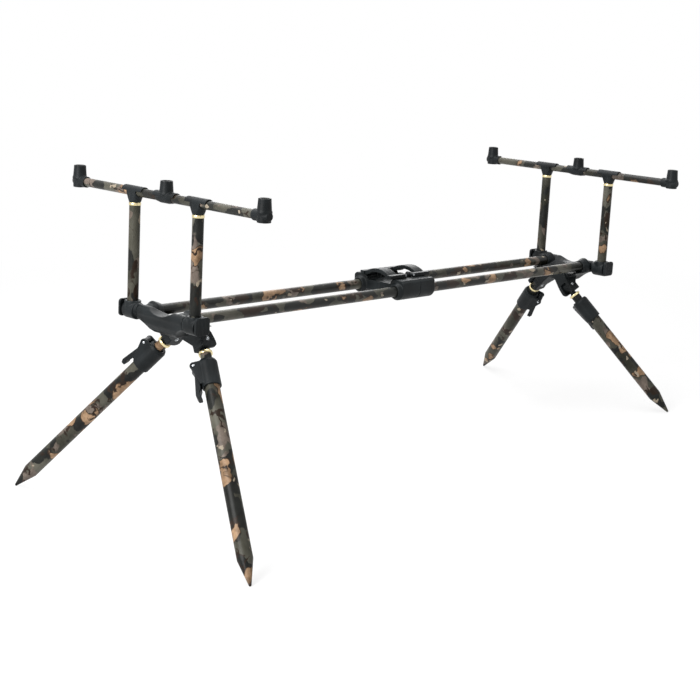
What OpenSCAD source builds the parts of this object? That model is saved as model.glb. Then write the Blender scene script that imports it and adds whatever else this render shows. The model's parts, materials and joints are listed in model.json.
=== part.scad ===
// Twin-bar rod pod: two plug-together halves, folding goalposts, four folding telescopic legs.
// Working frame: X runs along the main bars with the front end at -X, Y runs across, Z is up,
// and the main-bar axes lie in Z = 0. stand() tilts that frame until all four points touch the floor.

/* [Main frame] */
// Distance between the two goalpost planes
post_span = 950; // [880:10:1100]
// Spacing of the twin main bars, centre to centre
bar_gap = 78; // [74:1:84]
// Outside diameter of the main bars
bar_d = 16; // [15:0.5:17]
// Wall of every tube
tube_wall = 1.5; // [1.2:0.1:2]

/* [Goalposts] */
// Spacing of the uprights, centre to centre
upright_gap = 136; // [134:1:150]
// Outside diameter of the uprights
upright_d = 16; // [15:0.5:17]
// Height of the buzz-bar axis above the main-bar axis
buzz_height = 166; // [140:1:220]
// Outside diameter of the buzz bars
buzz_d = 12.5; // [12:0.5:14]
// Spacing of the alarm cups along a buzz bar
cup_gap = 197; // [180:1:230]
// Height of an alarm cup's rim above the buzz-bar axis
cup_rise = 23; // [22:1:28]
// Diameter of the screw thread in an alarm cup (3/8 inch)
cup_thread_d = 9.6; // [8:0.1:10]
// Depth of the thread in an alarm cup
cup_thread_depth = 12; // [8:0.5:13]
// Travel of a goalpost release button
button_travel = 2.5; // [2:0.5:3]
// Side of a release button's square cap
button_side = 25; // [24:0.5:27]

/* [Legs] */
// Hinge to tip of a front leg, closed up
front_leg_length = 369; // [330:1:420]
// Hinge to tip of a rear leg, closed up
rear_leg_length = 285; // [250:1:330]
// Outward lean of a leg from upright
leg_lean = 41.1; // [35:0.1:44]
// Rake of a leg towards its own end of the pod
leg_rake = 17; // [10:0.5:20]
// Outside diameter of the lower leg tube
leg_outer_d = 22; // [21.5:0.5:23]
// Outside diameter of the upper leg tube
leg_inner_d = 16; // [15:0.5:16.5]
// Length of the point at the foot of a leg
spike_length = 38; // [30:1:50]
// Diameter of a leg hinge pin
leg_pin_d = 6; // [5:0.5:7]

/* [Hubs] */
// Diameter of the hub's cross barrel
barrel_d = 18; // [17:0.5:19]
// Distance of a leg hinge inboard of the goalpost plane
hinge_inset = 46.6; // [44:0.2:50]
// Distance of a leg hinge from the middle of the pod
hinge_side = 33; // [31:0.5:35]
// Depth of a leg hinge below the main-bar axis
hinge_drop = 36; // [34:0.5:40]
// Width of the leg hinge's fork over both cheeks
fork_w = 24; // [22:0.5:26]
// Width of the leg knuckle inside the fork
knuckle_w = 11; // [10:0.5:12]

/* [Centre joint] */
// Distance of the parting faces from the middle of the pod
seam_offset = 4; // [3:0.5:8]
// Length of the socket collar of a bridge
socket_length = 47; // [44:1:52]
// Length of the spigot collar of a bridge
spigot_length = 40; // [38:1:46]
// Radius of a bridge collar round its bar
collar_r = 14; // [13:0.5:15]
// Length of spigot that enters the other half
spigot_reach = 44; // [36:1:50]
// Height of the collar's flat top above the main-bar axis
collar_top = 18; // [16:0.5:19]

/* [Clearances] */
// Radial clearance of a running pin or a sliding tube
run_gap = 0.05; // [0.03:0.01:0.08]
// Clearance between faces that pass each other
pass_gap = 0.3; // [0.25:0.05:0.5]
// Radial gap of a joint that is glued or pressed together
glue_gap = 0.02; // [0.01:0.01:0.04]

/* [Hidden] */
$fn = 64;

// Ends and sides of the pod
front = -1;
rear = 1;
left = 1;
right = -1;

// Colours of the finishes
nylon = "#2b2f33";
camo = "#5c5a49";
brass = "#d8c48a";
steel = "#c9ccd0";

// Main frame
bar_y = bar_gap / 2;
bar_r = bar_d / 2;
bore_r = bar_r - tube_wall;
half_span = post_span / 2;
over = 1;

// Hub: the barrel carries the goalpost, two sleeves hold the main bars, two forks hold the legs
barrel_r = barrel_d / 2;
barrel_end = bar_y + 11;
hub_back = 52;
hub_keel = 27;
hub_keel_w = 52;
saddle_r = 40;
saddle_dip = 0.5;
haunch_r = 32;
haunch_drop = 1.5;
sleeve_start = barrel_r + pass_gap + 0.4;
sleeve_swell = 3.5;
shoulder_r = barrel_r + 1.8;
sleeve_end = 27;
sleeve_tip_r = bar_r + 1.6;
sleeve_root_r = bar_r + 3.5;
sleeve_swell_r = bar_r + 6.5;
bar_start = 12;
stub_r = 5.2;
stub_length = 9;
seam_y = bar_y + 2;
seam_groove = 0.8;
seam_pitch = 2.4;
seam_depth = 0.7;
fork_wall = 11.5;
fork_end = 13;
fork_inner = 6;
fork_sweep_r = 16;
fork_side = 12.5;
fork_height = 32;
fork_back = 42;
fork_lip = 8;
slot_gap = 0.6;
slot_reach = 60;
fork_gap = knuckle_w + 2 * pass_gap;
leg_pin_r = leg_pin_d / 2;

// Goalpost
upright_y = upright_gap / 2;
upright_r = upright_d / 2;
buzz_r = buzz_d / 2;
socket_r = 12;
socket_high = 12;
swivel_r = barrel_r;
elbow_drop = 2;
elbow_block_r = 12.5;
elbow_block = 13;
socket_floor = -9;
socket_start = barrel_end + pass_gap;
socket_flat = upright_y + 10.3;
stem_r = 2.6;
stem_start = barrel_end + stub_length + button_travel + 1;
stem_gap = 0.3;
counterbore_r = 6.2;
counterbore_start = socket_flat - 1.2;
cap_start = socket_flat + button_travel + pass_gap;
cap_end = cap_start + 4;
cap_roof = cap_end - 1.5;
cap_corner = 5;
rib_count = 7;
rib_d = 1.2;
spring_r = 4.9;
spring_wire_r = 0.4;
spring_turns = 3;
spring_seat_gap = 0.1;
spring_start = counterbore_start + spring_wire_r + spring_seat_gap;
spring_length = cap_roof - spring_wire_r - spring_seat_gap - spring_start;
tee_r = buzz_r + 2;
tee_half = 10;
tee_wing = 21.5;
wing_cut = 1.5;
neck_r = upright_r + 0.4;
flare_r = 12;
flare_top = 4;
ring_height = 4;
ring_drop = 15;
ring_lip = 0.6;
spigot_plug = 20;
upright_top = buzz_height - ring_drop - ring_height;
cup_base_r = 9.9;
cup_rim_r = 8.6;
cup_height = 17;
cup_flange_r = 10.6;
cup_flange = 3;
elbow_r = buzz_r + 1.8;
elbow_back = 18;
elbow_front = 6;
elbow_chamfer = 5;
elbow_tip_r = 5.5;
drum_r = 9.4;
drum_low = -8.6;
buzz_end = cup_gap - 7;
centre_wing = 22;
centre_half = 8;
belly_half = 17;
insert_r = 6.2;
insert_height = 14;
insert_sink = 0.5;

// Leg, measured from its hinge pin down the leg
knuckle_r = 9;
leg_ring_top = 17;
neck_start = fork_sweep_r + 0.4;
leg_ring_r = 10;
clamp_top = 31;
clamp_length = 42;
clamp_r = leg_outer_d / 2 + 3;
clamp_chamfer = 4;
clamp_neck_r = clamp_r - 1.8;
guide_length = 13;
leg_outer_r = leg_outer_d / 2;
leg_inner_r = leg_inner_d / 2;
plug_length = 28;
tongue_r = min(leg_inner_r, knuckle_w / 2) - 0.4;
tip_r = 2;
tube_floor = 6;
cam_r = 4.7;
cam_out = clamp_r + cam_r + pass_gap;
cam_down = clamp_top + 8;
cam_pin_r = 2.5;
lever_w = 16;
lever_length = 50;
lever_thick = 5.5;
ear_w = 3.2;
ear_r = 5.5;
ear_foot = 30;
clamp_slit = 1.6;
lever_hook = 2;
lever_flare = 3.5;

// Centre bridge: a socket collar on one bar, a spigot collar on the other, and a web between
web_top = 10;
web_bottom = -6;
bar_stop = 12;
spigot_stop = 4;
spigot_hold = 34;
collar_taper = 6;
collar_chamfer = 4;
loop_pin_r = 1.5;
loop_pivot_x = seam_offset + 5;
loop_rail_thick = 6;
loop_rail_in = 25;
loop_rail_out = 33;
loop_rail_end = 46;
loop_z = collar_top + 0.4 + loop_rail_thick / 2;
loop_start = 22;
loop_width = 20;
loop_r = 44;
loop_thick = 6;
loop_rise = 31;
lug_in = 17;
lug_r = 4;

// Foot points in the working frame, and the stance that they give
function foot_x(length) = half_span - hinge_inset + (length - tip_r) * sin(leg_rake);
function foot_z(length) = -hinge_drop - (length - tip_r) * cos(leg_rake) * cos(leg_lean);
stance_tilt = atan2(
    foot_z(rear_leg_length) - foot_z(front_leg_length),
    foot_x(rear_leg_length) + foot_x(front_leg_length)
);
stance_z = tip_r + foot_x(rear_leg_length) * sin(stance_tilt) - foot_z(rear_leg_length) * cos(stance_tilt);
stance_x = (foot_x(front_leg_length) - foot_x(rear_leg_length)) / 2 * cos(stance_tilt)
    - (foot_z(front_leg_length) + foot_z(rear_leg_length)) / 2 * sin(stance_tilt);

// Stands the working frame on its four points
module stand() {
    translate([stance_x, 0, stance_z]) rotate([0, stance_tilt, 0]) children();
}

// One end of the pod: x runs inboard from the goalpost plane
module at_end(end) {
    translate([end * half_span, 0, 0]) mirror([end > 0 ? 1 : 0, 0, 0]) children();
}

// One side of an end: what is drawn for the right side is mirrored to the left
module on_side(side) {
    mirror([0, side > 0 ? 1 : 0, 0]) children();
}

// Both sides of an end
module both_sides() {
    for (side = [left, right]) on_side(side) children();
}

// Leg hinge on the right side: y runs along the pin, z up the plane in which the leg swings
module at_hinge() {
    translate([hinge_inset, -hinge_side, -hinge_drop]) rotate([-leg_lean, 0, 0]) children();
}

// Leg on the right side, hanging down its own -z from the hinge
module at_leg() {
    at_hinge() rotate([0, leg_rake, 0]) children();
}

// Cylinder along +y from y0 to y1
module y_rod(r, y0, y1) {
    translate([0, y0, 0]) rotate([-90, 0, 0]) cylinder(r = r, h = y1 - y0);
}

// Cylinder along +x from x0 to x1
module x_rod(r, x0, x1) {
    translate([x0, 0, 0]) rotate([0, 90, 0]) cylinder(r = r, h = x1 - x0);
}

// Cylinder or cone down the leg from s0 to s1
module leg_rod(r, s0, s1, r_end) {
    translate([0, 0, -s1]) cylinder(r1 = is_undef(r_end) ? r : r_end, r2 = r, h = s1 - s0);
}

// Tube along x
module x_tube(r, bore, x0, x1) {
    difference() {
        x_rod(r, x0, x1);
        x_rod(bore, x0 - over, x1 + over);
    }
}

// Front view of the hub: a saddle on top and a keel drawn in by two haunches
module hub_front_view() {
    difference() {
        translate([-barrel_end, -2 * hub_keel]) square([2 * barrel_end, 3 * hub_keel]);
        translate([0, saddle_dip + saddle_r]) circle(r = saddle_r);
        for (side = [left, right])
            translate([side * (hub_keel_w / 2 + haunch_r * 0.85), -barrel_r - haunch_drop - haunch_r])
                circle(r = haunch_r);
    }
}

// Side view of the hub: round at the barrel, raked to the keel, low at the back
module hub_side_view() {
    circle(r = barrel_r);
    polygon([
        [1 - barrel_r, -2], [-6.5, -14], [-2, -22], [5, -hub_keel], [hub_back - 6, -hub_keel], [hub_back, -hub_keel + 6],
        [hub_back, -bar_r - 3], [sleeve_end + over, -bar_r - 1], [6, barrel_r - 3]
    ]);
}

// Point of the plane in which a leg swings: out from the leg's axis towards its own end, and down the leg
function leg_uv(out, down) = [
    -out * cos(leg_rake) - down * sin(leg_rake), out * sin(leg_rake) - down * cos(leg_rake)
];

// Fork of one leg hinge, before it is slotted: its front wall stops the leg, its lower end clears the ring's swing
module hub_fork() {
    at_hinge() translate([0, fork_w / 2, 0]) rotate([90, 0, 0]) linear_extrude(fork_w) polygon([
        [-fork_back, fork_height], leg_uv(fork_wall, 2), leg_uv(fork_wall, fork_end), leg_uv(-fork_inner, fork_end),
        fork_sweep_r * [sin(30), -cos(30)], fork_sweep_r * [sin(48), -cos(48)],
        [fork_side, -5], [fork_side, 3], [fork_lip, fork_height]
    ]);
}

// Slot and pin hole of one leg hinge: the slot opens inboard alone, as far as the leg swings
module hub_fork_cut() {
    slot_half = tongue_r + slot_gap;
    at_hinge() {
        translate([0, fork_gap / 2, 0]) rotate([90, 0, 0]) linear_extrude(fork_gap) {
            circle(r = knuckle_r + slot_gap);
            polygon([
                [0, slot_half], leg_uv(slot_half, 0), leg_uv(slot_half, slot_reach), [slot_reach, -slot_reach],
                [slot_reach, slot_half]
            ]);
        }
        y_rod(leg_pin_r + glue_gap, -fork_w, fork_w);
    }
}

module end_hub(end) {
    color(nylon) stand() at_end(end) difference() {
        union() {
            intersection() {
                translate([-barrel_r, 0, 0]) rotate([90, 0, 90]) linear_extrude(hub_back + barrel_r) hub_front_view();
                translate([0, barrel_end, 0]) rotate([90, 0, 0]) linear_extrude(2 * barrel_end) hub_side_view();
            }
            both_sides() {
                hub_fork();
                y_rod(stub_r, -barrel_end - stub_length, -barrel_end + over);
                translate([barrel_r, -bar_y, 0]) sphere(r = shoulder_r);
                translate([sleeve_start, -bar_y, 0]) rotate([0, 90, 0]) {
                    cylinder(r1 = sleeve_root_r, r2 = sleeve_swell_r, h = sleeve_swell);
                    translate([0, 0, sleeve_swell])
                        cylinder(r1 = sleeve_swell_r, r2 = sleeve_tip_r, h = sleeve_end - sleeve_start - sleeve_swell);
                }
            }
        }
        both_sides() {
            hub_fork_cut();
            translate([0, -bar_y, 0]) x_rod(bar_r + glue_gap, bar_start, sleeve_end + over);
            y_rod(stem_r + stem_gap, -barrel_end - stub_length - over, -barrel_end - stub_length + 6);
            for (groove = [1, 2]) difference() {
                y_rod(2 * barrel_r, -seam_y + groove * seam_pitch, -seam_y + groove * seam_pitch + seam_groove);
                y_rod(barrel_r - seam_depth, -barrel_end, 0);
                translate([0, -barrel_end, -2 * hub_keel]) cube([2 * hub_back, barrel_end, 4 * hub_keel]);
            }
        }
    }
}

module leg_pins(end) {
    color(steel) stand() at_end(end) both_sides() at_hinge() y_rod(leg_pin_r, -fork_w / 2, fork_w / 2);
}

// Each half has a long bar that ends in its socket collar and a short one that carries its spigot
function socket_bar_end() = seam_offset - bar_stop - 12;
function spigot_bar_end() = -seam_offset - spigot_stop;

// One half of the pod, drawn as the front half: the rear half is the front one turned round
module as_half(end) {
    rotate([0, 0, end > 0 ? 180 : 0]) children();
}

module main_bars(end) {
    color(camo) stand() as_half(end) {
        translate([0, -bar_y, 0]) x_tube(bar_r, bore_r, -half_span + bar_start + glue_gap, socket_bar_end());
        translate([0, bar_y, 0]) x_tube(bar_r, bore_r, -half_span + bar_start + glue_gap, spigot_bar_end());
    }
}

// Section of a bridge collar: round under the bar, flat on top
module collar_section() {
    circle(r = collar_r);
    polygon([
        [-collar_r, 0], [collar_r, 0], [collar_r, collar_top - collar_chamfer],
        [collar_r - collar_chamfer, collar_top], [collar_chamfer - collar_r, collar_top],
        [-collar_r, collar_top - collar_chamfer]
    ]);
}

// Collar from x0 to x1 with a tapered ring where its bar leaves
module bridge_collar(x0, x1) {
    translate([x0 + collar_taper, 0, 0]) rotate([90, 0, 90]) linear_extrude(x1 - x0 - collar_taper) collar_section();
    translate([x0, 0, 0]) rotate([0, 90, 0]) cylinder(r1 = bar_r + 2.5, r2 = collar_r, h = collar_taper);
}

module bridge(end) {
    socket_x = seam_offset - socket_length;
    spigot_x = -seam_offset - spigot_length;
    parting = pass_gap / 2;
    web_h = web_top - web_bottom;
    color(nylon) stand() as_half(end) difference() {
        union() {
            translate([0, -bar_y, 0]) bridge_collar(socket_x, seam_offset - parting);
            translate([0, bar_y, 0]) bridge_collar(spigot_x, -seam_offset - parting);
            translate([socket_x + collar_taper, -bar_y, web_bottom])
                cube([socket_length - collar_taper - parting, bar_y - parting, web_h]);
            translate([spigot_x + collar_taper, -parting - over, web_bottom])
                cube([spigot_length - collar_taper - parting, bar_y + parting + over, web_h]);
            for (side = [left, right]) translate([-loop_pivot_x, 0, 0]) {
                y0 = side > 0 ? lug_in : -loop_rail_in + pass_gap;
                y1 = side > 0 ? loop_rail_in - pass_gap : -lug_in;
                translate([0, 0, loop_z]) y_rod(lug_r, y0, y1);
                translate([-lug_r, y0, web_bottom]) cube([2 * lug_r, y1 - y0, loop_z - web_bottom]);
            }
        }
        translate([0, -bar_y, 0]) {
            x_rod(bar_r + glue_gap, socket_x - over, socket_bar_end());
            x_rod(bore_r, socket_x, seam_offset + over);
        }
        translate([0, bar_y, 0]) {
            x_rod(bar_r + glue_gap, spigot_x - over, spigot_bar_end());
            x_rod(bore_r, spigot_x, 0);
        }
        translate([-loop_pivot_x, 0, loop_z]) y_rod(loop_pin_r + glue_gap, -bar_y, bar_y);
    }
}

module spigot(end) {
    color(steel) stand() as_half(end) translate([0, bar_y, 0])
        x_rod(bore_r - run_gap, -seam_offset - spigot_hold, -seam_offset + spigot_reach);
}

module loop_pins(end) {
    color(steel) stand() as_half(end) translate([-loop_pivot_x, 0, loop_z]) {
        y_rod(loop_pin_r, lug_in, loop_rail_out);
        y_rod(loop_pin_r, -loop_rail_out, -lug_in);
    }
}

// Finger loop: an arch across the bars on two rails that lie on the collars
module loop_lever(end) {
    arch_z = loop_rise - loop_r;
    color(nylon) stand() as_half(end) mirror([1, 0, 0]) difference() {
        union() {
            for (side = [left, right]) {
                y0 = side > 0 ? loop_rail_in : -loop_rail_out;
                y1 = side > 0 ? loop_rail_out : -loop_rail_in;
                translate([loop_pivot_x, 0, loop_z]) y_rod(loop_rail_thick / 2, y0, y1);
                translate([loop_pivot_x, y0, loop_z - loop_rail_thick / 2])
                    cube([loop_rail_end - loop_pivot_x, y1 - y0, loop_rail_thick]);
            }
            translate([loop_start, 0, 0]) rotate([90, 0, 90]) linear_extrude(loop_width) intersection() {
                translate([-loop_rail_out, loop_z - loop_rail_thick / 2]) square([2 * loop_rail_out, 40]);
                difference() {
                    translate([0, arch_z]) circle(r = loop_r);
                    translate([0, arch_z]) circle(r = loop_r - loop_thick);
                }
            }
        }
        translate([loop_pivot_x, 0, loop_z]) y_rod(loop_pin_r + run_gap, -bar_y, bar_y);
    }
}

module upright_sockets(end) {
    color(nylon) stand() at_end(end) both_sides() difference() {
        union() {
            y_rod(swivel_r, -upright_y, -socket_start);
            translate([0, 0, -elbow_drop]) y_rod(elbow_block_r, -socket_flat - over, elbow_block - upright_y);
            translate([0, -upright_y, -elbow_drop]) cylinder(r = socket_r, h = socket_high + elbow_drop);
        }
        translate([-2 * socket_r, -socket_flat - socket_r, -2 * socket_r]) cube([4 * socket_r, socket_r, 4 * socket_r]);
        y_rod(stub_r + run_gap, -barrel_end - stub_length - pass_gap, 0);
        y_rod(stem_r + stem_gap, -socket_flat - over, -barrel_end);
        y_rod(counterbore_r, -socket_flat - over, -counterbore_start);
        translate([0, -upright_y, socket_floor]) cylinder(r = upright_r + glue_gap, h = 60);
    }
}

module uprights(end) {
    color(camo) stand() at_end(end) both_sides() difference() {
        translate([0, -upright_y, socket_floor + glue_gap]) cylinder(r = upright_r, h = upright_top - socket_floor - glue_gap);
        translate([0, -upright_y, socket_floor - over]) cylinder(r = upright_r - tube_wall, h = upright_top + 60);
        y_rod(stem_r + 2 * stem_gap, -upright_y - 20, -upright_y + 20);
    }
}

module upright_rings(end) {
    color(brass) stand() at_end(end) both_sides() translate([0, -upright_y, upright_top]) difference() {
        cylinder(r = upright_r + ring_lip, h = ring_height);
        translate([0, 0, -over]) cylinder(r = upright_r - tube_wall, h = ring_height + 2 * over);
    }
}

// Top of a barrel round the buzz bar, reaching wing to both sides
module saddle_wings(r, wing) {
    intersection() {
        y_rod(r, -wing, wing);
        translate([-r - over, -wing - over, wing_cut]) cube([2 * (r + over), 2 * (wing + over), r]);
    }
}

module tees(end) {
    color(nylon) stand() at_end(end) both_sides() translate([0, -upright_y, 0]) difference() {
        union() {
            translate([0, 0, buzz_height]) {
                y_rod(tee_r, -tee_half, tee_half);
                saddle_wings(tee_r, tee_wing);
            }
            translate([0, 0, upright_top + ring_height]) {
                cylinder(r = neck_r, h = ring_drop);
                intersection() {
                    cylinder(r1 = neck_r - 0.3, r2 = flare_r, h = ring_drop - flare_top);
                    translate([0.6 - neck_r, -2 * flare_r, -over]) cube([2 * neck_r - 1.2, 4 * flare_r, 2 * ring_drop]);
                }
            }
            translate([0, 0, upright_top - spigot_plug])
                cylinder(r = upright_r - tube_wall - glue_gap, h = spigot_plug + ring_height + over);
        }
        translate([0, 0, buzz_height]) y_rod(buzz_r + glue_gap, -cup_gap, cup_gap);
    }
}

module buzz_bar(end) {
    color(camo) stand() at_end(end) translate([0, 0, buzz_height]) difference() {
        y_rod(buzz_r, -buzz_end, buzz_end);
        y_rod(buzz_r - tube_wall, -buzz_end - over, buzz_end + over);
    }
}

// Tapered cup on a fitting, and the seat of its threaded insert
module cup_body() {
    translate([0, 0, buzz_height + cup_rise - cup_height]) {
        cylinder(r1 = cup_base_r, r2 = cup_rim_r, h = cup_height);
        translate([0, 0, -cup_flange]) cylinder(r = cup_flange_r, h = cup_flange + 0.5);
    }
}

module cup_seat() {
    translate([0, 0, buzz_height + cup_rise - insert_sink - insert_height])
        cylinder(r = insert_r + glue_gap, h = insert_height + insert_sink + over);
}

module end_cups(end) {
    color(nylon) stand() at_end(end) both_sides() translate([0, -cup_gap, 0]) difference() {
        union() {
            cup_body();
            translate([0, 0, buzz_height]) {
                y_rod(elbow_r, -elbow_front, elbow_back);
                translate([0, 0, drum_low]) cylinder(r = drum_r, h = cup_rise - cup_height - drum_low);
                translate([0, -elbow_front - elbow_chamfer, 0]) rotate([-90, 0, 0])
                    cylinder(r1 = elbow_tip_r, r2 = elbow_r, h = elbow_chamfer);
            }
        }
        cup_seat();
        translate([0, 0, buzz_height]) y_rod(buzz_r + glue_gap, cup_gap - buzz_end - glue_gap, elbow_back + over);
    }
}

module centre_cup(end) {
    color(nylon) stand() at_end(end) difference() {
        union() {
            cup_body();
            translate([0, 0, buzz_height]) {
                saddle_wings(tee_r, centre_wing);
                y_rod(tee_r, -centre_half, centre_half);
                for (turn = [0, 180]) rotate([0, 0, turn]) translate([0, centre_half, 0]) rotate([-90, 0, 0])
                    cylinder(r1 = tee_r, r2 = buzz_r + 0.5, h = belly_half - centre_half);
            }
        }
        cup_seat();
        translate([0, 0, buzz_height]) y_rod(buzz_r + glue_gap, -centre_wing - over, centre_wing + over);
    }
}

module cup_inserts(end) {
    color(brass) stand() at_end(end) for (y = [-cup_gap, 0, cup_gap])
        translate([0, y, buzz_height + cup_rise - insert_sink - insert_height]) difference() {
            cylinder(r = insert_r, h = insert_height);
            translate([0, 0, insert_height - cup_thread_depth]) cylinder(d = cup_thread_d, h = cup_thread_depth + over);
        }
}

// Square cap with round corners, seen along y
module cap_outline() {
    inner = button_side / 2 - cap_corner;
    square([button_side, button_side - 2 * cap_corner], center = true);
    square([button_side - 2 * cap_corner, button_side], center = true);
    for (x = [-inner, inner], z = [-inner, inner]) translate([x, z]) circle(r = cap_corner);
}

module button(end, side) {
    rib_pitch = (button_side - 2 * cap_corner) / (rib_count - 1);
    color(nylon) stand() at_end(end) on_side(side) {
        difference() {
            translate([0, -cap_start, 0]) rotate([90, 0, 0]) linear_extrude(cap_end - cap_start) cap_outline();
            y_rod(counterbore_r, -cap_roof, 0);
            for (i = [0 : rib_count - 1])
                translate([(i - (rib_count - 1) / 2) * rib_pitch, -cap_end, -button_side])
                    cylinder(d = rib_d, h = 2 * button_side);
        }
        y_rod(stem_r, -cap_roof - over, -stem_start);
    }
}

// Helix of a button spring as a ring of points at each step, joined into one closed tube
module coil(mean_r, wire_r, turns, length) {
    steps = turns * 8;
    sides = 6;
    points = [
        for (i = [0 : steps], k = [0 : sides - 1])
            let (turn = i * 45, around = k * 360 / sides, r = mean_r + wire_r * cos(around))
            [r * cos(turn), r * sin(turn), length * i / steps + wire_r * sin(around)]
    ];
    walls = [
        for (i = [0 : steps - 1], k = [0 : sides - 1])
            let (a = i * sides + k, b = i * sides + (k + 1) % sides)
            each [[a, b + sides, b], [a, a + sides, b + sides]]
    ];
    first_end = [for (k = [1 : sides - 2]) [0, k, k + 1]];
    last = steps * sides;
    last_end = [for (k = [1 : sides - 2]) [last, last + k + 1, last + k]];
    polyhedron(points = points, faces = concat(walls, first_end, last_end));
}

module button_springs(end) {
    color(steel) stand() at_end(end) both_sides() translate([0, -spring_start, 0]) rotate([90, 0, 0])
        coil(spring_r, spring_wire_r, spring_turns, spring_length);
}

module knuckle(end, side) {
    color(nylon) stand() at_end(end) on_side(side) at_leg() difference() {
        union() {
            y_rod(knuckle_r, -knuckle_w / 2, knuckle_w / 2);
            leg_rod(tongue_r, 0, neck_start);
            leg_rod(tongue_r, neck_start, leg_ring_top, leg_inner_r);
            leg_rod(leg_inner_r - tube_wall - glue_gap, leg_ring_top - over, leg_ring_top + plug_length);
        }
        y_rod(leg_pin_r + run_gap, -knuckle_w, knuckle_w);
    }
}

module leg_ring(end, side) {
    color(brass) stand() at_end(end) on_side(side) at_leg() difference() {
        leg_rod(leg_ring_r, leg_ring_top, leg_ring_top + ring_height);
        leg_rod(leg_inner_r - tube_wall, 0, leg_ring_top + 2 * ring_height);
    }
}

function leg_length(end) = end < 0 ? front_leg_length : rear_leg_length;
function tube_bottom(end) = leg_length(end) - spike_length - tube_floor;

module inner_tube(end, side) {
    color(camo) stand() at_end(end) on_side(side) at_leg() difference() {
        leg_rod(leg_inner_r, leg_ring_top + ring_height, tube_bottom(end) - pass_gap);
        leg_rod(leg_inner_r - tube_wall, 0, tube_bottom(end) + over);
    }
}

module outer_tube(end, side) {
    point = leg_length(end) - spike_length;
    centre = leg_length(end) - tip_r;
    color(camo) stand() at_end(end) on_side(side) at_leg() difference() {
        union() {
            leg_rod(leg_outer_r, clamp_top + guide_length + glue_gap, point);
            leg_rod(leg_outer_r, point, centre, tip_r);
            translate([0, 0, -centre]) sphere(r = tip_r);
        }
        leg_rod(leg_outer_r - tube_wall, clamp_top, tube_bottom(end));
    }
}

// Cheek of the clamp that carries one end of the cam lever's pin, seen along y
module clamp_ear() {
    translate([-cam_out, -cam_down]) circle(r = ear_r);
    polygon([
        [-cam_out, -cam_down + ear_r], [-clamp_r / 2, -cam_down + ear_r], [-clamp_r / 2, -cam_down - ear_foot],
        [-clamp_r, -cam_down - ear_foot], [-cam_out - ear_r, -cam_down]
    ]);
}

// Turn of each clamp round its leg, from outboard towards outward and up, as the collars were last set
function clamp_turn(end, side) = end < 0 ? (side > 0 ? 68 : -41) : (side > 0 ? -55 : -48);

module clamp(end, side) {
    bottom = clamp_top + clamp_length;
    ear_y = lever_w / 2 + pass_gap;
    color(nylon) stand() at_end(end) on_side(side) at_leg() rotate([0, 0, clamp_turn(end, side)]) difference() {
        union() {
            leg_rod(clamp_neck_r, clamp_top, clamp_top + clamp_chamfer, clamp_r);
            leg_rod(clamp_r, clamp_top + clamp_chamfer, bottom);
            for (y = [-ear_y - ear_w, ear_y])
                translate([0, y + ear_w, 0]) rotate([90, 0, 0]) linear_extrude(ear_w) clamp_ear();
        }
        leg_rod(leg_inner_r + run_gap, 0, bottom);
        leg_rod(leg_outer_r + glue_gap, clamp_top + guide_length, bottom + over);
        translate([-cam_out, -clamp_slit / 2, -bottom + 12]) cube([cam_out, clamp_slit, clamp_length]);
        translate([-cam_out, 0, -cam_down]) y_rod(cam_pin_r + run_gap, -clamp_r * 2, clamp_r * 2);
    }
}

// Side view of a cam lever: cam round its pin, arm that stands off the tube, hooked tip
module lever_view() {
    arm_in = -clamp_r - 2 * pass_gap;
    arm_out = arm_in - lever_thick;
    tip = -cam_down - lever_length;
    hook = -clamp_top - clamp_length - 2 * pass_gap;
    translate([-cam_out, -cam_down]) circle(r = cam_r);
    polygon([
        [-cam_out, -cam_down + cam_r], [-cam_out - cam_r, -cam_down], [arm_out, -cam_down - 14],
        [arm_out - lever_flare, tip + 5], [arm_out - lever_flare + 2, tip], [arm_in - lever_flare + lever_hook, tip],
        [arm_in - lever_flare + lever_hook, tip + 5], [arm_in - lever_flare, tip + 7], [arm_in, hook], [arm_in, -cam_down]
    ]);
}

module cam_lever(end, side) {
    pin_half = lever_w / 2 + pass_gap + ear_w;
    color(nylon) stand() at_end(end) on_side(side) at_leg() rotate([0, 0, clamp_turn(end, side)]) {
        translate([0, lever_w / 2, 0]) rotate([90, 0, 0]) linear_extrude(lever_w) lever_view();
        translate([-cam_out, 0, -cam_down]) y_rod(cam_pin_r, -pin_half, pin_half);
    }
}

end_hub(front);  // front_hub
end_hub(rear);  // rear_hub
main_bars(front);  // front_main_bars
main_bars(rear);  // rear_main_bars
bridge(front);  // front_bridge
bridge(rear);  // rear_bridge
spigot(front);  // front_spigot
spigot(rear);  // rear_spigot
loop_lever(front);  // front_loop_lever
loop_lever(rear);  // rear_loop_lever
loop_pins(front);  // front_loop_pins
loop_pins(rear);  // rear_loop_pins
leg_pins(front);  // front_leg_pins
leg_pins(rear);  // rear_leg_pins
upright_sockets(front);  // front_upright_sockets
uprights(front);  // front_uprights
upright_rings(front);  // front_upright_rings
tees(front);  // front_tees
buzz_bar(front);  // front_buzz_bar
end_cups(front);  // front_end_cups
centre_cup(front);  // front_centre_cup
cup_inserts(front);  // front_cup_inserts
upright_sockets(rear);  // rear_upright_sockets
uprights(rear);  // rear_uprights
upright_rings(rear);  // rear_upright_rings
tees(rear);  // rear_tees
buzz_bar(rear);  // rear_buzz_bar
end_cups(rear);  // rear_end_cups
centre_cup(rear);  // rear_centre_cup
cup_inserts(rear);  // rear_cup_inserts
button(front, left);  // front_left_button
button(front, right);  // front_right_button
button(rear, left);  // rear_left_button
button(rear, right);  // rear_right_button
button_springs(front);  // front_button_springs
button_springs(rear);  // rear_button_springs
knuckle(front, left);  // front_left_knuckle
knuckle(front, right);  // front_right_knuckle
knuckle(rear, left);  // rear_left_knuckle
knuckle(rear, right);  // rear_right_knuckle
leg_ring(front, left);  // front_left_leg_ring
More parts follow.
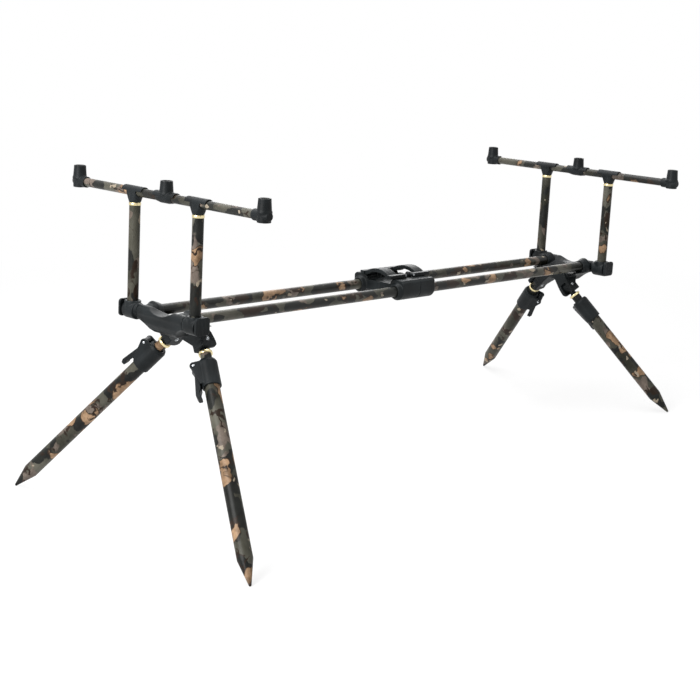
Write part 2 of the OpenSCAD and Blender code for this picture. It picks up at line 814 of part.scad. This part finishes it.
leg_ring(front, right);  // front_right_leg_ring
leg_ring(rear, left);  // rear_left_leg_ring
leg_ring(rear, right);  // rear_right_leg_ring
inner_tube(front, left);  // front_left_inner_tube
inner_tube(front, right);  // front_right_inner_tube
inner_tube(rear, left);  // rear_left_inner_tube
inner_tube(rear, right);  // rear_right_inner_tube
outer_tube(front, left);  // front_left_outer_tube
outer_tube(front, right);  // front_right_outer_tube
outer_tube(rear, left);  // rear_left_outer_tube
outer_tube(rear, right);  // rear_right_outer_tube
clamp(front, left);  // front_left_clamp
clamp(front, right);  // front_right_clamp
clamp(rear, left);  // rear_left_clamp
clamp(rear, right);  // rear_right_clamp
cam_lever(front, left);  // front_left_cam_lever
cam_lever(front, right);  // front_right_cam_lever
cam_lever(rear, left);  // rear_left_cam_lever
cam_lever(rear, right);  // rear_right_cam_lever
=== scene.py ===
import bmesh
import bpy
import json
import math
from mathutils import Matrix, Vector


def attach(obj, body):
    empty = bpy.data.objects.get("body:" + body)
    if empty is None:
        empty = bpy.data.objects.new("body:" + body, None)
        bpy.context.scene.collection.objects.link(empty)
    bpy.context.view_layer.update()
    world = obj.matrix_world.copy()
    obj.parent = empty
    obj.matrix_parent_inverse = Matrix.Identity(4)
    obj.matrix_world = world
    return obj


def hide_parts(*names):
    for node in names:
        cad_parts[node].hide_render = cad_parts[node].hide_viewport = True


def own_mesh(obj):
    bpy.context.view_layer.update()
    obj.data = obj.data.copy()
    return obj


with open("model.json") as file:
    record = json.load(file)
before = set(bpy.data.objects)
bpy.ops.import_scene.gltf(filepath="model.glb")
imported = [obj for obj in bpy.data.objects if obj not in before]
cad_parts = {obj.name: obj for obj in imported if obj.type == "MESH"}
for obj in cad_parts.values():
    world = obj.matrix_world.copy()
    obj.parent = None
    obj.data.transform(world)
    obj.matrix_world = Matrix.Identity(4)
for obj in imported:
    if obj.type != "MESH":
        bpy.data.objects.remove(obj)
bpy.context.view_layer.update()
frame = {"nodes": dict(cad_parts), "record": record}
cadNodes = frame["nodes"]
behaviour = frame["record"]["behaviour"]
bodyOf = {node: body for body, members in behaviour["bodies"].items() for node in members}
joints = {joint["name"]: joint for joint in behaviour["joints"]}
mounts = {mount["name"]: mount for mount in frame["record"]["mounts"]}
ends = ("front", "rear")
corners = ("front_left", "front_right", "rear_left", "rear_right")
mm = 0.001
mergeMm = 0.002  # points closer than this are one point
smoothBelow = math.radians(35)  # faces that meet at less than this are shaded as one surface


def atEnds(kind):
    return [f"{end}_{kind}" for end in ends]


def atCorners(kind):
    return [f"{corner}_{kind}" for corner in corners]


def linear(hexColour):
    channels = [int(hexColour[i:i + 2], 16) / 255 for i in (1, 3, 5)]
    return tuple(c / 12.92 if c <= 0.04045 else ((c + 0.055) / 1.055) ** 2.4 for c in channels) + (1.0,)


def perMetre(sizeMm):
    return 1 / (sizeMm * mm)  # texture scale that gives cells of this size on Object coordinates


def newMaterial(name):
    material = bpy.data.materials.new(name)
    material.use_nodes = True
    tree = material.node_tree
    return material, tree, tree.nodes["Principled BSDF"]


def addNode(tree, kind, settings=None, inputs=None):
    node = tree.nodes.new(kind)
    for name, value in (settings or {}).items():
        setattr(node, name, value)
    for socket, value in (inputs or {}).items():
        if isinstance(value, bpy.types.NodeSocket):
            tree.links.new(value, node.inputs[socket])
        else:
            node.inputs[socket].default_value = value
    return node


def objectPlace(tree):
    return addNode(tree, "ShaderNodeTexCoord").outputs["Object"]


noiseMiddle = 0.5  # noise runs from 0 to 1 about this


def noise(tree, place, sizeMm, detail, roughness=0.5):
    inputs = {"Vector": place, "Scale": perMetre(sizeMm), "Detail": detail, "Roughness": roughness}
    return addNode(tree, "ShaderNodeTexNoise", inputs=inputs).outputs


def maths(tree, operation, *terms):
    return addNode(tree, "ShaderNodeMath", {"operation": operation}, dict(enumerate(terms))).outputs[0]


def vectorMaths(tree, operation, *terms):
    return addNode(tree, "ShaderNodeVectorMath", {"operation": operation}, dict(enumerate(terms))).outputs


def mapped(tree, value, source, target=(0, 1)):
    inputs = {"From Min": source[0], "From Max": source[1], "To Min": target[0], "To Max": target[1]}
    return addNode(tree, "ShaderNodeMapRange", inputs={"Value": value, **inputs}).outputs["Result"]


def ramp(tree, factor, places, hexColours):
    node = addNode(tree, "ShaderNodeValToRGB", inputs={"Fac": factor})
    for element, place, hexColour in zip(node.color_ramp.elements, places, hexColours):
        element.position = place
        element.color = linear(hexColour)
    return node.outputs["Color"]


def lay(tree, amount, under, over):
    colours = {0: amount, 6: under, 7: over}  # a colour mix has its factor at 0 and its colours at 6 and 7
    return addNode(tree, "ShaderNodeMix", {"data_type": "RGBA"}, colours).outputs[2]


# Glass-filled nylon, injection moulded: satin cool black, a faint cloud from the flow of the melt,
# spark-eroded grain that breaks up the highlight, and edges rubbed a little paler
nylonFinish = {
    "deep": "#0d1011", "pale": "#1b1f21", "rubbed": "#464b4d",
    "cloudMm": 38, "cloudDetail": 3, "cloudStops": (0.35, 0.68),
    "grainMm": 0.9, "grainDetail": 2, "grainDepthMm": 0.06, "grainStrength": 0.35,
    "scuffMm": 6, "scuffDetail": 6, "scuffRoughness": 0.7, "scuffSpan": (0.3, 0.7),
    "roughness": (0.36, 0.54), "edgeSpan": (0.53, 0.62), "edgeMost": 0.75, "ior": 1.53, "specular": 0.13,
}


def makeNylon(name, spec):
    material, tree, shader = newMaterial(name)
    place = objectPlace(tree)
    cloud = noise(tree, place, spec["cloudMm"], spec["cloudDetail"])["Fac"]
    scuff = noise(tree, place, spec["scuffMm"], spec["scuffDetail"], spec["scuffRoughness"])["Fac"]
    grain = noise(tree, place, spec["grainMm"], spec["grainDetail"])["Fac"]
    body = ramp(tree, cloud, spec["cloudStops"], (spec["deep"], spec["pale"]))
    ridge = addNode(tree, "ShaderNodeNewGeometry").outputs["Pointiness"]
    worn = maths(tree, "MULTIPLY", mapped(tree, ridge, spec["edgeSpan"], (0, spec["edgeMost"])), scuff)
    colour = lay(tree, worn, body, linear(spec["rubbed"]))
    rough = mapped(tree, scuff, spec["scuffSpan"], spec["roughness"])
    relief = {"Strength": spec["grainStrength"], "Distance": spec["grainDepthMm"] * mm, "Height": grain}
    bump = addNode(tree, "ShaderNodeBump", inputs=relief)
    tree.links.new(colour, shader.inputs["Base Color"])
    tree.links.new(rough, shader.inputs["Roughness"])
    tree.links.new(bump.outputs["Normal"], shader.inputs["Normal"])
    shader.inputs["IOR"].default_value = spec["ior"]
    shader.inputs["Specular IOR Level"].default_value = spec["specular"]
    return material


# Aluminium tube under a printed woodland film and clear lacquer: torn patches of drab, charcoal, bark and
# sand shaded like dry leaf, thin twig lines, and a soft gloss over all. The layout is our own noise
camoFinish = {
    "drab": ("#24241c", "#55534a"), "lichen": ("#463e38", "#71665d"), "charcoal": ("#101110", "#20211e"),
    "sand": ("#584431", "#9f8266"), "bark": "#271c15", "twig": "#21170f", "ash": "#8c8171",
    "mottleStops": (0.34, 0.66),
    "shadeMm": 15, "shadeDetail": 5, "shadeRoughness": 0.65, "shadeSpan": (0.3, 0.7),
    "raggedMm": 8, "raggedDetail": 3, "raggedByMm": 7,
    "sandRim": (-0.016, -0.008), "sandEdge": (0, 0.01),
    "twigLevel": 0.47, "twigWidth": 0.034, "twigWhere": (0.44, 0.6), "twigEdge": (0, 0.012),
    "roughness": (0.39, 0.51), "specular": 0.06, "coatRoughness": 0.31,
}
printLayers = {  # size of a layer's patches, where its noise is read, its detail and its edge's levels
    "drab": {"sizeMm": 46, "offset": (0, 0, 0), "detail": 4},
    "lichen": {"sizeMm": 26, "offset": (2.2, 1.4, 0.6), "detail": 1.5, "edge": (0.585, 0.6)},
    "charcoal": {"sizeMm": 30, "offset": (0.31, 0.7, 0.13), "detail": 1.5, "edge": (0.52, 0.532)},
    "bark": {"sizeMm": 24, "offset": (1.7, 0.2, 0.9), "detail": 2.5, "edge": (0.61, 0.62)},
    "sand": {"sizeMm": 30, "offset": (0.4, 1.9, 2.3), "detail": 1.5},
    "twig": {"sizeMm": 34, "offset": (1.1, 2.6, 0.4), "detail": 3},
    "ash": {"sizeMm": 13, "offset": (2.9, 0.8, 1.1), "detail": 1.5, "edge": (0.69, 0.7)},
}
camoRuns = {  # the print is drawn out along each kind of tube; a lower sandFrom gives more sand
    "bar": {"stretch": (0.65, 1, 1), "sandFrom": 0.635, "lacquer": 0.36},
    "upright": {"stretch": (1, 1, 0.65), "sandFrom": 0.61, "lacquer": 0.16},
    "buzz": {"stretch": (1, 0.7, 1), "sandFrom": 0.635, "lacquer": 0.36},
    "leg": {"stretch": (0.95, 0.8, 0.7), "sandFrom": 0.575, "lacquer": 0.16},
}


def makeCamo(name, spec, run):
    material, tree, shader = newMaterial(name)
    place = vectorMaths(tree, "MULTIPLY", objectPlace(tree), run["stretch"])["Vector"]
    ragged = noise(tree, place, spec["raggedMm"], spec["raggedDetail"])["Color"]
    centred = vectorMaths(tree, "SUBTRACT", ragged, (noiseMiddle,) * 3)["Vector"]
    push = vectorMaths(tree, "MULTIPLY", centred, (spec["raggedByMm"] * mm,) * 3)["Vector"]
    torn = vectorMaths(tree, "ADD", place, push)["Vector"]
    shade = noise(tree, place, spec["shadeMm"], spec["shadeDetail"], spec["shadeRoughness"])["Fac"]
    field = {}
    shown = {}
    for layer, cut in printLayers.items():
        moved = vectorMaths(tree, "ADD", torn, cut["offset"])["Vector"]
        field[layer] = noise(tree, moved, cut["sizeMm"], cut["detail"])["Fac"]
        if "edge" in cut:
            shown[layer] = mapped(tree, field[layer], cut["edge"])
    shown["rim"] = mapped(tree, field["sand"], [run["sandFrom"] + step for step in spec["sandRim"]])
    shown["sand"] = mapped(tree, field["sand"], [run["sandFrom"] + step for step in spec["sandEdge"]])
    offLine = maths(tree, "ABSOLUTE", maths(tree, "SUBTRACT", field["twig"], spec["twigLevel"]))
    halfWidth = maths(tree, "MULTIPLY", mapped(tree, field["bark"], spec["twigWhere"]), spec["twigWidth"])
    shown["twig"] = mapped(tree, maths(tree, "SUBTRACT", halfWidth, offLine), spec["twigEdge"])

    def mottled(layer, factor):
        return ramp(tree, factor, spec["mottleStops"], spec[layer])

    colour = mottled("drab", field["drab"])
    colour = lay(tree, shown["lichen"], colour, mottled("lichen", shade))
    colour = lay(tree, shown["charcoal"], colour, mottled("charcoal", shade))
    colour = lay(tree, shown["bark"], colour, linear(spec["bark"]))
    colour = lay(tree, shown["rim"], colour, linear(spec["bark"]))  # dark rim of a sand patch
    colour = lay(tree, shown["sand"], colour, mottled("sand", shade))
    colour = lay(tree, shown["twig"], colour, linear(spec["twig"]))
    colour = lay(tree, shown["ash"], colour, linear(spec["ash"]))
    tree.links.new(colour, shader.inputs["Base Color"])
    tree.links.new(mapped(tree, shade, spec["shadeSpan"], spec["roughness"]), shader.inputs["Roughness"])
    shader.inputs["Specular IOR Level"].default_value = spec["specular"]
    shader.inputs["Coat Weight"].default_value = run["lacquer"]
    shader.inputs["Coat Roughness"].default_value = spec["coatRoughness"]
    return material


metalRings = {"detail": 2, "stops": (0.3, 0.7)}  # tool marks round a turned piece
# Free-cutting brass, turned and polished: warm pale gold with fine rings left by the tool
brassFinish = {"light": "#efe3b8", "dark": "#d2bf8c", "ringMm": 0.7, "roughness": (0.18, 0.34)}
# Stainless steel, turned and ground: bright and cool, with faint rings
steelFinish = {"light": "#d4d7da", "dark": "#b4b8bc", "ringMm": 0.6, "roughness": (0.18, 0.34)}


def makeMetal(name, spec, axis):
    material, tree, shader = newMaterial(name)
    along = vectorMaths(tree, "DOT_PRODUCT", objectPlace(tree), axis)["Value"]
    inputs = {"W": along, "Scale": perMetre(spec["ringMm"]), "Detail": metalRings["detail"]}
    rings = addNode(tree, "ShaderNodeTexNoise", {"noise_dimensions": "1D"}, inputs).outputs["Fac"]
    tint = ramp(tree, rings, metalRings["stops"], (spec["dark"], spec["light"]))
    tree.links.new(tint, shader.inputs["Base Color"])
    tree.links.new(mapped(tree, rings, (0, 1), spec["roughness"]), shader.inputs["Roughness"])
    shader.inputs["Metallic"].default_value = 1
    return material


camo = {kind: makeCamo(f"aluminium_printed_woodland_lacquered_{kind}", camoFinish, run)
        for kind, run in camoRuns.items()}
cupAxis = mounts["front_centre_alarm_thread"]["axis"]
finishes = {
    "black_nylon": makeNylon("nylon_glass_filled_moulded", nylonFinish),
    "brass_trim": makeMetal("brass_turned_polished", brassFinish, cupAxis),
    "bright_steel": makeMetal("stainless_steel_ground", steelFinish, (0, 1, 0)),
}
legBrass = {}  # a ring's tool marks run round its own leg
for corner in corners:
    legAxis = joints[f"{corner}_leg_extend"]["axis"]
    legBrass[f"{corner}_leg_ring"] = makeMetal(f"brass_turned_polished_{corner}", brassFinish, legAxis)
print("materials:", len(finishes) + len(camo) + len(legBrass))


def bodyMesh(node):
    mesh = cadNodes[node].data.copy()
    shell = bmesh.new()
    shell.from_mesh(mesh)
    bmesh.ops.remove_doubles(shell, verts=shell.verts, dist=mergeMm * mm)
    shell.to_mesh(mesh)
    shell.free()
    return mesh


def placePiece(name, mesh, node, slotName, finish=None):
    mesh.materials.clear()
    mesh.materials.append(finish or finishes[slotName])
    piece = bpy.data.objects.new(name, mesh)
    bpy.context.scene.collection.objects.link(piece)
    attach(piece, bodyOf[node])
    return piece


def shadeRound(mesh):
    mesh.shade_smooth()
    mesh.set_sharp_from_angle(angle=smoothBelow)


def bakeModifiers(piece):
    graph = bpy.context.evaluated_depsgraph_get()
    finished = bpy.data.meshes.new_from_object(piece.evaluated_get(graph))
    piece.modifiers.clear()
    piece.data = finished
    return piece


# Moulded pieces: the CAD form with the radii of a real mould on its edges
mouldings = {  # a finer grid and fewer rounds give crisper edges; keep is the share of faces left
    "hub": {"nodes": atEnds("hub"), "gridMm": 0.8, "rounds": 22, "keep": 0.4},
    "bridge": {"nodes": atEnds("bridge"), "gridMm": 0.7, "rounds": 8, "keep": 0.4},
    "loop": {"nodes": atEnds("loop_lever"), "gridMm": 0.5, "rounds": 10, "keep": 0.5},
    "socket": {"nodes": atEnds("upright_sockets"), "gridMm": 0.6, "rounds": 24, "keep": 0.4},
    "tee": {"nodes": atEnds("tees"), "gridMm": 0.5, "rounds": 8, "keep": 0.4},
    "endCup": {"nodes": atEnds("end_cups"), "gridMm": 0.5, "rounds": 8, "keep": 0.4},
    "centreCup": {"nodes": atEnds("centre_cup"), "gridMm": 0.5, "rounds": 8, "keep": 0.4},
    "button": {"nodes": atCorners("button"), "gridMm": 0.4, "rounds": 6, "keep": 0.4},
    "knuckle": {"nodes": atCorners("knuckle"), "gridMm": 0.5, "rounds": 8, "keep": 0.4},
    "clamp": {"nodes": atCorners("clamp"), "gridMm": 0.5, "rounds": 12, "keep": 0.4},
    "camLever": {"nodes": atCorners("cam_lever"), "gridMm": 0.45, "rounds": 6, "keep": 0.4},
}
smoothStep = 0.5  # how far a point moves to its neighbours' middle in one round


def mould(node, spec):
    piece = placePiece(f"{node}_moulded", bodyMesh(node), node, "black_nylon")
    grid = piece.modifiers.new("grid", "REMESH")
    grid.mode = "VOXEL"
    grid.voxel_size = spec["gridMm"] * mm
    grid.use_smooth_shade = True
    radii = piece.modifiers.new("radii", "SMOOTH")
    radii.factor = smoothStep
    radii.iterations = spec["rounds"]
    thin = piece.modifiers.new("thin", "DECIMATE")
    thin.ratio = spec["keep"]
    bakeModifiers(piece)
    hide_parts(node)
    return piece


faceCount = 0
for spec in mouldings.values():
    for node in spec["nodes"]:
        faceCount += len(mould(node, spec).data.polygons)
print("mouldings:", faceCount, "faces")

# Drawn tube and turned metal: the CAD form with its rounds shaded smooth, and brass with its edges broken
tubes = {
    "bar": atEnds("main_bars"), "upright": atEnds("uprights"), "buzz": atEnds("buzz_bar"),
    "leg": [f"{corner}_{kind}" for corner in corners for kind in ("inner_tube", "outer_tube")],
}
turned = {
    "brass_trim": atEnds("upright_rings") + atCorners("leg_ring"),
    "bright_steel": [f"{end}_{kind}" for end in ends for kind in ("spigot", "loop_pins", "leg_pins")],
}
brokenEdge = {"widthMm": 0.35, "segments": 2, "profile": 0.5, "flatBelow": math.radians(1)}


def breakEdges(mesh, spec):
    shell = bmesh.new()
    shell.from_mesh(mesh)
    bmesh.ops.dissolve_limit(shell, angle_limit=spec["flatBelow"], verts=shell.verts, edges=shell.edges)
    closed = [edge for edge in shell.edges if len(edge.link_faces) == 2]
    sharp = [edge for edge in closed if edge.calc_face_angle() > smoothBelow]
    bmesh.ops.bevel(shell, geom=sharp, offset=spec["widthMm"] * mm, offset_type="OFFSET",
                    segments=spec["segments"], profile=spec["profile"], affect="EDGES", material=-1,
                    clamp_overlap=True)
    shell.to_mesh(mesh)
    shell.free()


def turn(node, slotName, finish=None):
    piece = placePiece(f"{node}_turned", bodyMesh(node), node, slotName, finish)
    if slotName == "brass_trim":
        breakEdges(piece.data, brokenEdge)
    shadeRound(piece.data)
    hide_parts(node)
    return piece


for run, nodeNames in tubes.items():
    for node in nodeNames:
        turn(node, "camo_tube", camo[run])
for slotName, nodeNames in turned.items():
    for node in nodeNames:
        turn(node, slotName, legBrass.get(node))
print("tubes:", sum(map(len, tubes.values())), "turned metal:", sum(map(len, turned.values())))

# Button springs: the two coils of one CAD node are parted into a piece for each button
for corner in corners:
    end, side = corner.split("_")
    way = 1 if side == "left" else -1
    coil = bodyMesh(f"{end}_button_springs")
    shell = bmesh.new()
    shell.from_mesh(coil)
    otherCoil = [vert for vert in shell.verts if vert.co.y * way < 0]
    bmesh.ops.delete(shell, geom=otherCoil, context="VERTS")
    shell.to_mesh(coil)
    shell.free()
    coil.shade_smooth()
    piece = placePiece(f"{corner}_button_spring_wound", coil, f"{end}_button_springs", "bright_steel")
    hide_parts(f"{end}_button_springs")
    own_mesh(piece)
print("springs:", len(corners))

# Small turned work: threaded inserts in the cups, rivets on the cam pins, plugs and rivets on the leg pins
cupSides = ("left", "centre", "right")
insertShape = {
    "profileMm": [(0, -14), (6.2, -14), (6.2, -1.4), (5.9, -1.1),
                  (5.5, -1.1), (4.8, -2), (4.8, -12.3), (0, -12.3)],
    "ridgeMm": [(4.9, -0.52), (4.28, 0), (4.9, 0.52)], "around": 32,
    "pitchMm": 1.27, "threadFromMm": -11.6, "threadTurns": 7,
}
pinShape = {
    "rivetMm": [(0, 0.4), (0.6, 0.42), (1, 0.5), (1.5, 0.42), (1.8, 0.15), (1.85, -0.4), (0, -0.4)],
    "plugMm": [(0, 0.3), (2.1, 0.3), (2.7, 0.12), (2.95, -0.2), (2.95, -0.6), (0, -0.6)],
    "around": 24, "camPinHalfMm": 11.5, "legPinHalfMm": 12,
}


def spun(profileMm, around):
    shell = bmesh.new()
    ring = [shell.verts.new((r * mm, 0, z * mm)) for r, z in profileMm]
    edges = [shell.edges.new(pair) for pair in zip(ring, ring[1:])]
    bmesh.ops.spin(shell, geom=ring + edges, cent=(0, 0, 0), axis=(0, 0, 1), angle=2 * math.pi,
                   steps=around, use_merge=True)
    bmesh.ops.remove_doubles(shell, verts=shell.verts, dist=mergeMm * mm)
    return shell


def cutThread(shell, spec):
    start = spec["threadFromMm"]
    tooth = shell.faces.new([shell.verts.new((r * mm, 0, (start + z) * mm)) for r, z in spec["ridgeMm"]])
    rise = (0, 0, spec["pitchMm"] * mm / spec["around"])
    bmesh.ops.spin(shell, geom=[tooth], cent=(0, 0, 0), axis=(0, 0, 1), dvec=rise,
                   angle=2 * math.pi * spec["threadTurns"], steps=spec["around"] * spec["threadTurns"])


def standAt(shell, place, axis):
    turnTo = Vector((0, 0, 1)).rotation_difference(Vector(axis)).to_matrix().to_4x4()
    bmesh.ops.transform(shell, matrix=Matrix.Translation(place) @ turnTo, verts=shell.verts)


def gather(name, shells, node, slotName):
    mesh = bpy.data.meshes.new(name)
    whole = bmesh.new()
    for shell in shells:
        bmesh.ops.recalc_face_normals(shell, faces=shell.faces)
        shell.to_mesh(mesh)
        whole.from_mesh(mesh)
        shell.free()
    whole.to_mesh(mesh)
    whole.free()
    shadeRound(mesh)
    return placePiece(name, mesh, node, slotName)


for end in ends:
    shells = []
    for side in cupSides:
        hole = mounts[f"{end}_{side}_alarm_thread"]
        mouth = Vector(hole["pos_m"]) + Vector(hole["axis"]) * hole["dims"]["length_mm"] * mm / 2
        shell = spun(insertShape["profileMm"], insertShape["around"])
        cutThread(shell, insertShape)
        standAt(shell, mouth, hole["axis"])
        shells.append(shell)
    piece = gather(f"{end}_cup_inserts_threaded", shells, f"{end}_cup_inserts", "brass_trim")
    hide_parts(f"{end}_cup_inserts")


def pinHeads(profileMm, pin, halfMm):
    shells = []
    for way in (1, -1):
        outward = Vector(pin["axis"]) * way
        shell = spun(profileMm, pinShape["around"])
        standAt(shell, Vector(pin["pos_m"]) + outward * halfMm * mm, outward)
        shells.append(shell)
    return shells


for corner in corners:
    legPins = f"{corner.split('_')[0]}_leg_pins"
    camRivets = pinHeads(pinShape["rivetMm"], joints[f"{corner}_clamp_open"], pinShape["camPinHalfMm"])
    hingePlugs = pinHeads(pinShape["plugMm"], joints[f"{corner}_leg_fold"], pinShape["legPinHalfMm"])
    hingeRivets = pinHeads(pinShape["rivetMm"], joints[f"{corner}_leg_fold"], pinShape["legPinHalfMm"])
    gather(f"{corner}_cam_rivets", camRivets, f"{corner}_cam_lever", "bright_steel")
    gather(f"{corner}_hinge_plugs", hingePlugs, legPins, "black_nylon")
    gather(f"{corner}_hinge_rivets", hingeRivets, legPins, "bright_steel")
print("inserts:", len(ends) * len(cupSides), "cam pins and leg pins:", 2 * len(corners))

# Studio: white paper all round, a wide roof of light for the bright line along the bars, a tall box to the
# left of the camera, a weak one to its right and one behind for the far sides
studio = {
    "floor": "#f6f6f6", "floorSize": 80, "floorCells": 4, "floorRoughness": 0.9, "floorSpecular": 0.1,
    "glow": (0.72, 1.0), "glowSpanM": (0.75, 1.7), "surround": 0.05, "aim": (0, 0, 0.28),
}
lamps = {
    "roof": {"place": (0.0, 0.4, 1.85), "size": (2.2, 1.6), "watts": 44},
    "leftBox": {"place": (-2.1, -0.1, 1.3), "size": (1.2, 1.7), "watts": 60},
    "rightBox": {"place": (0.4, -2.7, 1.5), "size": (1.4, 1.2), "watts": 8},
    "backBox": {"place": (2.0, 1.9, 1.1), "size": (1.6, 1.2), "watts": 22},
}
cells = studio["floorCells"]
sheet = bmesh.new()
bmesh.ops.create_grid(sheet, x_segments=cells, y_segments=cells, size=studio["floorSize"] / 2)
floorMesh = bpy.data.meshes.new("studio_floor")
sheet.to_mesh(floorMesh)
sheet.free()
floor = bpy.data.objects.new("studio_floor", floorMesh)
bpy.context.scene.collection.objects.link(floor)


def seenRays(tree):
    rays = addNode(tree, "ShaderNodeLightPath").outputs
    seen = maths(tree, "MAXIMUM", rays["Is Camera Ray"], rays["Is Glossy Ray"])
    return maths(tree, "MAXIMUM", seen, rays["Is Transmission Ray"])


paper, tree, shader = newMaterial("paper_backdrop_matt")  # matt white paper that keeps a faint shadow
shader.inputs["Base Color"].default_value = linear(studio["floor"])
shader.inputs["Roughness"].default_value = studio["floorRoughness"]
shader.inputs["Specular IOR Level"].default_value = studio["floorSpecular"]
away = vectorMaths(tree, "LENGTH", objectPlace(tree))["Value"]
share = maths(tree, "MULTIPLY", seenRays(tree), mapped(tree, away, studio["glowSpanM"], studio["glow"]))
glow = addNode(tree, "ShaderNodeEmission", inputs={"Strength": 1}).outputs["Emission"]
mixed = addNode(tree, "ShaderNodeMixShader", inputs={0: share, 1: shader.outputs["BSDF"], 2: glow})
tree.links.new(mixed.outputs["Shader"], tree.nodes["Material Output"].inputs["Surface"])
floorMesh.materials.append(paper)

world = bpy.data.worlds.new("studio_surround")
bpy.context.scene.world = world
world.use_nodes = True
tree = world.node_tree
background = tree.nodes["Background"]
background.inputs["Color"].default_value = (1, 1, 1, 1)
tree.links.new(mapped(tree, seenRays(tree), (0, 1), (studio["surround"], 1)), background.inputs["Strength"])

for lampName, spec in lamps.items():
    lamp = bpy.data.lights.new(lampName, "AREA")
    lamp.shape = "RECTANGLE"
    lamp.size, lamp.size_y = spec["size"]
    lamp.energy = spec["watts"]
    holder = bpy.data.objects.new(lampName, lamp)
    bpy.context.scene.collection.objects.link(holder)
    holder.location = spec["place"]
    beam = Vector(studio["aim"]) - Vector(spec["place"])
    holder.rotation_euler = beam.to_track_quat("-Z", "Y").to_euler()

# Camera fitted to the photograph's bars, uprights and feet
viewpoint = {
    "place": (-1.77059, -1.64431, 0.81053), "forward": (0.69433, 0.67222, -0.25695),
    "right": (0.69783, -0.71616, 0.01212), "down": (-0.17587, -0.18772, -0.96635),
    "lensMm": 79.82, "sensorMm": 36,
}
cameraData = bpy.data.cameras.new("camera")
cameraData.lens = viewpoint["lensMm"]
cameraData.sensor_width = viewpoint["sensorMm"]
camera = bpy.data.objects.new("camera", cameraData)
bpy.context.scene.collection.objects.link(camera)
axes = Matrix((viewpoint["right"], -Vector(viewpoint["down"]), -Vector(viewpoint["forward"]))).transposed()
camera.matrix_world = Matrix.Translation(viewpoint["place"]) @ axes.to_4x4()
bpy.context.scene.camera = camera
bpy.context.scene.view_settings.view_transform = "Standard"
print("studio and camera set")
